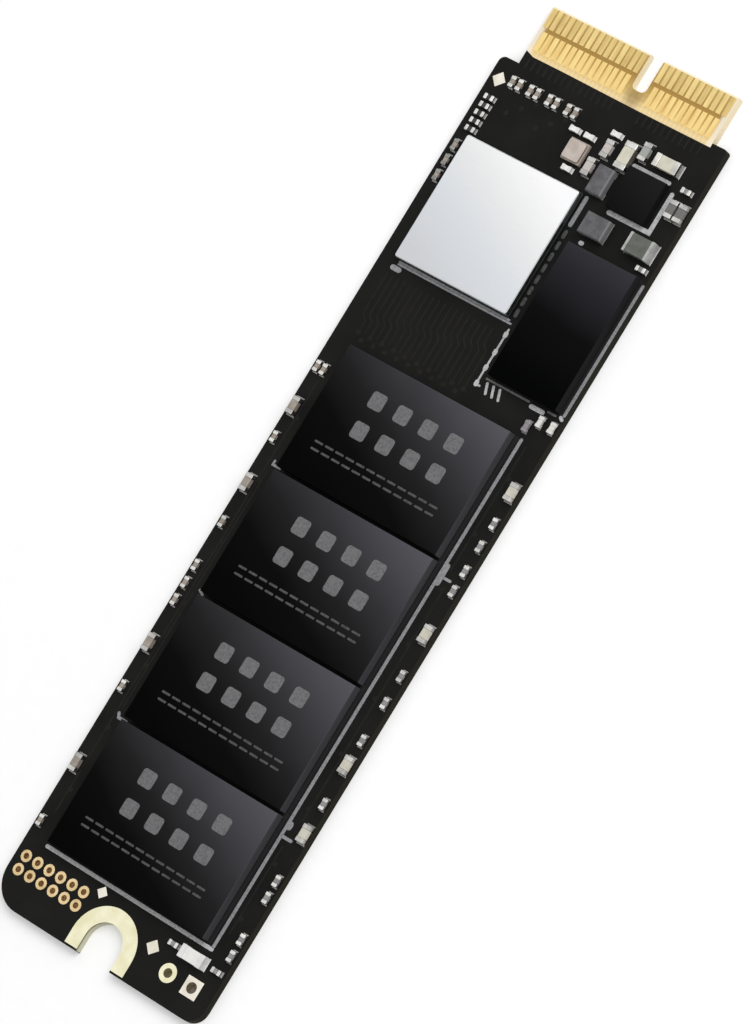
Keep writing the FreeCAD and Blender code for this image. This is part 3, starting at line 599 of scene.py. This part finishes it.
NODE_FINISHES = {
    "circuit_board": ("board_mask", 0),
    "front_contacts": ("contact_front", 0.012),
    "rear_contacts": ("contact_rear", 0.012),
    "screw_land": ("land_gold", 0),
    "header_plating": ("hole_gold", 0),
    "round_hole_plating": ("land_gold", 0),
    "square_hole_plating": ("bare_metal", 0),
    "fiducial_marks": ("bare_metal", 0.012),
    "nand_package_1": ("flash_mould", 0.04),
    "nand_package_2": ("flash_mould", 0.04),
    "nand_package_3": ("flash_mould", 0.04),
    "nand_package_4": ("flash_mould", 0.04),
    "dram_package": ("memory_mould", 0.04),
    "controller_substrate": ("carrier", 0.03),
    "controller_die": ("silicon", 0.02),
    "controller_lid": ("lid_metal", 0.05),
    "power_regulator": ("regulator_mould", 0.04),
    "upright_inductor": ("ferrite", 0.06),
    "upright_inductor_terminals": ("terminal", 0.02),
    "flat_inductor": ("ferrite", 0.06),
    "flat_inductor_terminals": ("terminal", 0.02),
    "bulk_capacitor": ("bulk_body", 0.06),
    "bulk_capacitor_ends": ("terminal", 0.06),
    "crystal_base": ("crystal_ceramic", 0.03),
    "crystal_lid": ("crystal_metal", 0.03),
    "coupling_capacitors": ("capacitor_ceramic", 0.04),
    "controller_resistors": ("resistor_body", 0.03),
    "controller_capacitors": ("capacitor_ceramic", 0.04),
    "controller_capacitors_ends": ("dull_tin", 0.045),
    "timing_capacitors": ("white_ceramic", 0.03),
    "timing_capacitors_ends": ("matte_tin", 0.03),
    "input_capacitors": ("large_ceramic", 0.06),
    "filter_capacitors": ("filter_ceramic", 0.05),
    "filter_capacitors_ends": ("soft_tin", 0.045),
    "filter_resistors": ("grey_resistor", 0.03),
    "memory_capacitors": ("memory_ceramic", 0.03),
    "memory_capacitors_ends": ("memory_ceramic", 0.03),
    "right_edge_capacitors": ("edge_ceramic", 0.05),
    "right_edge_capacitors_ends": ("soft_tin", 0.045),
    "right_edge_resistors": ("grey_resistor", 0.03),
    "left_edge_capacitors": ("capacitor_ceramic", 0.04),
    "left_filter_capacitors": ("capacitor_ceramic", 0.05),
    "left_filter_capacitors_ends": ("soft_tin", 0.045),
    "tail_chip": ("white_ceramic", 0.05),
    "tail_chip_ends": ("matte_tin", 0.045),
    "tail_resistors": ("grey_resistor", 0.03),
}
# Nodes that aren't listed are the metal ends of chips
CHIP_ENDS = ("tinned_metal", 0.045)

WELD_REACH = 0.0002
SHARP_ANGLE = math.radians(30)


def round_edges(node, width):
    """Join the shell's split corners and round its edges."""
    weld = node.modifiers.new("weld", "WELD")
    weld.merge_threshold = WELD_REACH * MM
    bevel = node.modifiers.new("rounding", "BEVEL")
    bevel.width = width * MM
    bevel.segments = 2
    bevel.limit_method = "ANGLE"
    bevel.angle_limit = SHARP_ANGLE
    bevel.use_clamp_overlap = True


for name, node in frame["nodes"].items():
    finish, rounding = NODE_FINISHES.get(name, CHIP_ENDS)
    node.data.materials.clear()
    node.data.materials.append(finishes[finish])
    if rounding:
        round_edges(node, rounding)


# Shapes that are added to the board

CAP_STEPS = 5
CORNER_STEPS = 4
MITRE_LIMIT = 0.5
FLANK_SHARE = 0.2


def add_piece(name, shape, finish):
    """Turn a bmesh into an object that rides on the board."""
    bmesh.ops.recalc_face_normals(shape, faces=shape.faces)
    bmesh.ops.triangulate(shape, faces=[face for face in shape.faces if len(face.verts) > 4])
    mesh = bpy.data.meshes.new(name)
    shape.to_mesh(mesh)
    shape.free()
    mesh.materials.append(finishes[finish])
    piece = bpy.data.objects.new(name, mesh)
    bpy.context.scene.collection.objects.link(piece)
    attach(piece, "root")


def loft(shape, rings):
    """A closed skin over rings of corners, capped at both ends."""
    rows = [[shape.verts.new(corner) for corner in ring] for ring in rings]
    count = len(rows[0])
    for lower, upper in zip(rows, rows[1:]):
        for k in range(count):
            shape.faces.new((lower[k], lower[(k + 1) % count], upper[(k + 1) % count], upper[k]))
    shape.faces.new(rows[0][::-1])
    shape.faces.new(rows[-1])


def stroke_outline(path, width):
    """Outline of a pen stroke along a path of flat points: mitred corners and round ends."""
    points = [Vector(p) for p in path]
    half = width / 2
    ways = [(b - a).normalized() for a, b in zip(points, points[1:])]
    normals = [Vector((-way.y, way.x)) for way in ways]
    left, right = [], []
    for k, corner in enumerate(points):
        before, after = normals[max(k - 1, 0)], normals[min(k, len(normals) - 1)]
        mitre = (before + after).normalized()
        reach = half / max(mitre.dot(after), MITRE_LIMIT)
        left.append(corner + mitre * reach)
        right.append(corner - mitre * reach)

    def cap(middle, start):
        angles = [math.pi * k / (CAP_STEPS + 1) for k in range(1, CAP_STEPS + 1)]
        return [middle + Matrix.Rotation(-a, 2) @ start * half for a in angles]

    return left + cap(points[-1], normals[-1]) + right[::-1] + cap(points[0], -normals[0])


def stroke(shape, path, width, height, level=0.0):
    """A low printed or plated line with sloping flanks, on a level above the board."""
    slope = min(height, width * FLANK_SHARE)
    loft(shape, [
        [point(p.x, p.y, level) for p in stroke_outline(path, width)],
        [point(p.x, p.y, level + height) for p in stroke_outline(path, width - slope)],
    ])


def tile(shape, left, near, side, radius, height, level):
    """A flat square field with round corners, on a level above the board."""
    far_centre = side - radius
    centres = ((far_centre, far_centre), (radius, far_centre), (radius, radius), (far_centre, radius))
    rings = []
    for z, reach in ((level, radius), (level + height, radius - height)):
        ring = []
        for quarter, (x, y) in enumerate(centres):
            for k in range(CORNER_STEPS + 1):
                angle = math.pi / 2 * (quarter + k / CORNER_STEPS)
                ring.append(point(left + x + reach * math.cos(angle), near + y + reach * math.sin(angle), z))
        rings.append(ring)
    loft(shape, rings)


def dashes(start, end, length, gap, width):
    """A broken line between two places, as paths with their width."""
    start, end = Vector(start), Vector(end)
    way = (end - start).normalized()
    step = length + gap
    count = int(((end - start).length + gap) / step)
    return [((start + way * k * step, start + way * (k * step + length)), width) for k in range(count)]


def drawn_from(corner, lines):
    """Lines, each a path and its width, moved from offsets to places on the board."""
    return [([corner + Vector(offset) for offset in path], width) for path, width in lines]


# Solder at the ends of the chips: lengths in millimetres, and shares of the end's height and width

FILLET_STEPS = 5
FILLET_EDGE = 0.012
FILLET_OVERLAP = 0.02
FILLET_REACH = 0.08
REACH_SHARE = 0.12
CLIMB_SHARE = 0.72
FOOT_SHARE = 0.94
FOOT_SPREAD = 0.12
CREST_SHARE = 0.96
HOLLOW = 2.2
SAME_LINE = 0.05


def fillet(shape, low, high, axis, way):
    """Solder that wets a chip's end: a hollow-faced wedge on its outer side."""
    side = 1 - axis
    tall = high.z - low.z
    climb = CLIMB_SHARE * tall - FILLET_EDGE
    reach = FILLET_REACH + REACH_SHARE * tall
    face = high[axis] if way > 0 else low[axis]
    middle = (low[side] + high[side]) / 2
    half = (high[side] - low[side]) / 2
    rings = []
    for k in range(FILLET_STEPS + 1):
        s = k / FILLET_STEPS
        height = FILLET_EDGE + climb * (1 - s) ** HOLLOW
        foot = half * (FOOT_SHARE + FOOT_SPREAD * s)
        crest = foot * CREST_SHARE
        ring = []
        for offset, z in ((-foot, 0.0), (foot, 0.0), (crest, height), (-crest, height)):
            corner = [0.0, 0.0, z]
            corner[axis] = face + way * (reach * s - FILLET_OVERLAP)
            corner[side] = middle + offset
            ring.append(point(*corner))
        rings.append(ring)
    loft(shape, rings)


def solder_piece(node):
    """The fillets of one set of chips; each is on the side that faces away from the chip's other end."""
    ends = islands(node)
    shape = bmesh.new()
    for low, high in ends:
        axis = 0 if high.x - low.x < high.y - low.y else 1
        side = 1 - axis
        centre = (low + high) / 2
        others = [(a + b) / 2 for a, b in ends if (a, b) != (low, high)]
        in_line = [other for other in others if abs(other[side] - centre[side]) < SAME_LINE]
        mate = min(in_line, key=lambda other: abs(other[axis] - centre[axis]))
        fillet(shape, low, high, axis, 1 if centre[axis] > mate[axis] else -1)
    ends_finish, _ = NODE_FINISHES.get(node, CHIP_ENDS)
    finish = "matte_tin" if ends_finish == "matte_tin" else "solder"
    add_piece(node.replace("_ends", "_solder"), shape, finish)


for name in sorted(frame["nodes"]):
    if name.endswith("_ends"):
        solder_piece(name)


# Printed lines on the board, most of them given as offsets from the corner of a package

INK = 0.02
INK_STEP = 0.0005
FLASH_RULE_GAP = 0.61
FLASH_END = flash_row.near - 0.37
MEMORY_RULE_GAP = 0.37
MEMORY_SIDE_GAP = 1.1


def ink_piece(name, lines, finish="board_ink"):
    """One printed group; a later line lies a little over the earlier ones."""
    shape = bmesh.new()
    for number, (path, width) in enumerate(lines):
        stroke(shape, path, width, INK + INK_STEP * number)
    add_piece(name, shape, finish)


ink_piece("controller_side_print", drawn_from(
    carrier.near_right, dashes((0.29, 0.44), (0.29, 9.14), length=0.5, gap=0.6, width=0.36),
), "faint_ink")
ink_piece("controller_corner_print", drawn_from(carrier.near_right, [([(0.28, 9.34), (0.28, 11.94)], 0.42)]))
ink_piece("controller_outline_print", drawn_from(carrier.near_left, [
    ([(0.32, -0.36), (12.92, -0.36)], 0.2),
    *dashes((0.32, -0.14), (12.72, -0.14), length=0.34, gap=0.18, width=0.22),
    ([(-0.03, -0.81), (0.67, -0.81)], 0.5),
]))
ink_piece("memory_end_print", drawn_from(memory.near_left, [
    ([(-0.45, -0.28), (4.25, -0.28)], 0.2),
    ([(6.35, -0.28), (7.15, -0.28)], 0.2),
]), "package_ink")
ink_piece("inductor_mark_print", drawn_from(
    inductor.near_left, [([(0.52, -0.65), (0.68, -0.65)], 0.4)],
), "bright_ink")
ink_piece("memory_mark_print", drawn_from(memory.near_right, [
    ([(-2.85, -0.54), (-1.6, -0.54)], 0.42),
    ([(0.15, -0.2), (MEMORY_RULE_GAP, -0.34)], 0.32),
]), "bright_ink")
ink_piece("memory_outline_print", drawn_from(
    memory.near_right, [([(MEMORY_RULE_GAP, 0.05), (MEMORY_RULE_GAP, 12.6)], 0.3)],
))
ink_piece("memory_side_print", drawn_from(memory.near_left, [
    ([(-MEMORY_SIDE_GAP, 4.2), (-MEMORY_SIDE_GAP, -1.1), (-0.7, -1.1)], 0.2),
    *[([(-MEMORY_SIDE_GAP, y - 0.1), (-MEMORY_SIDE_GAP, y + 0.1)], 0.44) for y in (3.7, 2.0, 0.5, -1.0)],
    *[([(x, -0.6), (x + 0.34, -1.45)], 0.26) for x in (-0.15, 0.55, 1.25)],
]), "bright_ink")
ink_piece("flash_outline_print", [
    *drawn_from(flash_row.near_right, [
        ([(FLASH_RULE_GAP, 48.8), (FLASH_RULE_GAP, -0.1)], 0.33),
        ([(0.85, 36.7), (0.85, 35.1)], 0.5),
        ([(0.83, 35.7), (1.83, 35.7)], 0.26),
        ([(0.73, 10.6), (1.73, 10.6)], 0.3),
        ([(0.88, 11.5), (0.88, 11.8)], 0.5),
    ]),
    *drawn_from(flash_row.near_left, [
        ([(-1.07, 37.25), (-1.07, 36.9), (-0.22, 36.9)], 0.24),
        ([(-0.77, 24.65), (-0.27, 24.4)], 0.24),
        ([(-1.27, 12.3), (-1.07, 11.95), (-0.17, 11.95)], 0.3),
    ]),
])
# The brighter ink on this rule is painted light that offsets the shade the flash packages cast on it
ink_piece("flash_end_print", [
    ([(flash_row.right + FLASH_RULE_GAP, FLASH_END), (flash_row.left - 0.47, FLASH_END)], 0.36),
], "bright_ink")
ink_piece("regulator_outline_print", drawn_from(regulator.near_left, [
    ([(-0.05, 4.2), (3.75, 4.2)], 0.4),
    ([(4.57, 3.45), (4.57, -0.25), (0.2, -0.25)], 0.44),
]), "bright_ink")


# Printed fields on the flash packages, given as offsets from the package's far left corner

PRINT = 0.006
CELL = 1.55
CELL_RADIUS = 0.3
CELL_COLUMNS = [4.58 + 2.85 * k for k in range(4)]
CELL_ROWS = (-3.95, -6.85)
RULE_START = 2.13
RULE_END = 16.83
RULE_ROWS = (-8.55, -9.25)


def flash_print(number):
    """Two rows of plain square cells, over a double broken rule."""
    package = flash[number]
    cells = bmesh.new()
    for y in CELL_ROWS:
        for x in CELL_COLUMNS:
            tile(cells, package.left + x, package.far + y, CELL, CELL_RADIUS, PRINT, package.top)
    add_piece("flash_cells_%d" % number, cells, "package_ink")
    rule = bmesh.new()
    for y in RULE_ROWS:
        lines = dashes((RULE_START, y), (RULE_END, y), length=0.75, gap=0.42, width=0.2)
        for path, width in drawn_from(package.far_left, lines):
            stroke(rule, path, width, PRINT, package.top)
    add_piece("flash_rule_%d" % number, rule, "faint_ink")


for number in flash:
    flash_print(number)


# Copper under the mask: tracks from the contacts, a fan from the controller, and tracks along both edges

TRACK = 0.014
CONTACT_TRACK_WIDTH = 0.22
FAN_WIDTH = 0.16
FAN_COUNT = 19
FAN_PITCH = 0.66
FAN_JOG = 0.6
FAN_LEFT = carrier.left - 0.18
FAN_FAR = carrier.near - 1.46
FAN_NEAR = flash_row.far + 1.5
FAN_TURN = FAN_NEAR + 1.5
FAN_SLANT = 0.14
EDGE_WIDTH = 0.18
LEFT_EDGE_TRACKS = [
    ([(-1.57, 2.5), (-1.57, 45.1)], EDGE_WIDTH),
    ([(-1.22, 13.0), (-1.22, 36.1)], EDGE_WIDTH),
]
RIGHT_EDGE_TRACKS = [
    ([(1.28, 1.5), (1.28, 9.9)], EDGE_WIDTH),
    ([(1.68, 12.5), (1.68, 35.1)], EDGE_WIDTH),
    ([(1.33, 36.5), (1.33, 48.5)], EDGE_WIDTH),
]

tracks = bmesh.new()
for low, high in islands("rear_contacts"):
    x = (low.x + high.x) / 2
    stroke(tracks, [(x, NECK - 0.15), (x, NECK - 1.0)], CONTACT_TRACK_WIDTH, TRACK)
for k in range(FAN_COUNT):
    x = FAN_LEFT + FAN_PITCH * k
    turn = FAN_TURN + FAN_SLANT * k
    jogged = x + FAN_JOG
    stroke(tracks, [(x, FAN_FAR), (x, turn), (jogged, turn - FAN_JOG), (jogged, FAN_NEAR)], FAN_WIDTH, TRACK)
for corner, lines in ((flash_row.near_left, LEFT_EDGE_TRACKS), (flash_row.near_right, RIGHT_EDGE_TRACKS)):
    for path, width in drawn_from(corner, lines):
        stroke(tracks, path, width, TRACK)
add_piece("covered_tracks", tracks, "covered_copper")

# Vias: a profile of radius and height, at the fan's ends, behind the contacts and along both edges
VIA_STEPS = 14
VIA_PROFILE = ((0.24, 0.0), (0.21, 0.018), (0.09, 0.018), (0.06, 0.012))
VIA_PLACES = [
    *[(FAN_LEFT + FAN_JOG + FAN_PITCH * k, FAN_NEAR - 0.2 - 0.5 * (k % 2)) for k in range(FAN_COUNT)],
    *[(carrier.left + 1.62 + 1.1 * k, carrier.far + 3.14 + 0.9 * (k % 3)) for k in range(6)],
    *[(flash_row.right + 1.48, flash_row.near + 3.0 + 5.3 * k) for k in range(9)],
    *[(flash_row.left - 1.47, flash_row.near + 4.7 + 6.1 * k) for k in range(7)],
]

vias = bmesh.new()
turns = [2 * math.pi * k / VIA_STEPS for k in range(VIA_STEPS)]
for x, y in VIA_PLACES:
    loft(vias, [
        [point(x + radius * math.cos(a), y + radius * math.sin(a), z) for a in turns]
        for radius, z in VIA_PROFILE
    ])
add_piece("covered_vias", vias, "covered_copper")


# Floor

FLOOR_REACH = 3.0
FLOOR_DROP = 2e-5


def floor_finish():
    """White paper that glows a little where it is seen, with a painted shadow under the plated holes at the
    tail: there it is dark and doesn't glow.
    """
    f = Finish("floor_paper", specular=0.0)
    x, y, _ = f.places()
    # Painted shadow: a dark patch on the floor under the plated holes, seen through them
    across = f.within(x, (round_hole.left + square_hole.right) / 2, reach=2.6)
    along = f.within(y, (round_hole.near + round_hole.far) / 2, reach=1.0)
    painted_shadow_under_holes = f.math("MULTIPLY", across, along)
    seen = f.node("ShaderNodeLightPath").outputs["Is Camera Ray"]
    glow = f.math("MULTIPLY", seen, f.span(painted_shadow_under_holes, 0.24, 0.0))
    f.shader.inputs["Emission Color"].default_value = (1.0, 1.0, 1.0, 1.0)
    f.feed(f.shader.inputs["Emission Strength"], glow)
    fibre = f.noise(scale=900.0)
    paper = f.ramp(fibre, [(0.3, (0.80, 0.80, 0.80)), (0.7, (0.82, 0.82, 0.82))])
    return f.wear(f.mix(painted_shadow_under_holes, paper, (0.20, 0.18, 0.15)), roughness=0.9)


floor_mesh = bpy.data.meshes.new("floor")
floor_corners = [(-1, -1), (1, -1), (1, 1), (-1, 1)]
floor_mesh.from_pydata(
    [(x * FLOOR_REACH, y * FLOOR_REACH, -FLOOR_DROP) for x, y in floor_corners], [], [(0, 1, 2, 3)],
)
floor_mesh.materials.append(floor_finish())
floor = bpy.data.objects.new("floor", floor_mesh)
bpy.context.scene.collection.objects.link(floor)
floor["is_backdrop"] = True


# Light

SKY_LIGHT = 0.62
SKY_SEEN = 1.0
KEY_PLACE = (0.25, 0.28, 0.40)
KEY_SIDE = 0.4
KEY_POWER = 1.7


def studio_world():
    """White surroundings, brighter where they are seen, mirrored or seen through than as a light."""
    world = bpy.data.worlds.new("studio")
    world.use_nodes = True
    tree = world.node_tree
    tree.nodes.clear()
    rays = tree.nodes.new("ShaderNodeLightPath").outputs
    seen = rays["Is Camera Ray"]
    for kind in ("Is Glossy Ray", "Is Transmission Ray"):
        larger = tree.nodes.new("ShaderNodeMath")
        larger.operation = "MAXIMUM"
        tree.links.new(seen, larger.inputs[0])
        tree.links.new(rays[kind], larger.inputs[1])
        seen = larger.outputs[0]
    choose = tree.nodes.new("ShaderNodeMixShader")
    tree.links.new(seen, choose.inputs[0])
    for socket, strength in zip(choose.inputs[1:], (SKY_LIGHT, SKY_SEEN)):
        sky = tree.nodes.new("ShaderNodeBackground")
        sky.inputs["Color"].default_value = (1.0, 1.0, 1.0, 1.0)
        sky.inputs["Strength"].default_value = strength
        tree.links.new(sky.outputs[0], socket)
    output = tree.nodes.new("ShaderNodeOutputWorld")
    tree.links.new(choose.outputs[0], output.inputs["Surface"])
    return world


bpy.context.scene.world = studio_world()

key_data = bpy.data.lights.new("key", "AREA")
key_data.shape = "SQUARE"
key_data.size = KEY_SIDE
key_data.energy = KEY_POWER
key = bpy.data.objects.new("key", key_data)
key.location = KEY_PLACE
key.rotation_mode = "QUATERNION"
key.rotation_quaternion = (-key.location).to_track_quat("-Z", "Y")
bpy.context.scene.collection.objects.link(key)


# Camera

EYE = Vector((270.413, -26.507, 431.591)) * MM
TARGET = Vector((0.6964, -0.4690, 0.831)) * MM
ROLL = math.radians(54.004)
LENS = 214.58
SENSOR = 36.0
CLIP_START = 0.01
CLIP_END = 20.0

forward = (TARGET - EYE).normalized()
flat_right = forward.cross(Vector((0, 0, 1))).normalized()
flat_up = flat_right.cross(forward)
up = flat_up * math.cos(ROLL) + flat_right * math.sin(ROLL)
right = forward.cross(up)
camera_data = bpy.data.cameras.new("camera")
camera_data.lens = LENS
camera_data.sensor_width = SENSOR
camera_data.clip_start = CLIP_START
camera_data.clip_end = CLIP_END
camera = bpy.data.objects.new("camera", camera_data)
turn = Matrix((right, up, -forward)).transposed().to_4x4()
camera.matrix_world = Matrix.Translation(EYE) @ turn
bpy.context.scene.collection.objects.link(camera)
bpy.context.scene.camera = camera
bpy.context.scene.view_settings.view_transform = "Standard"

low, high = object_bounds()
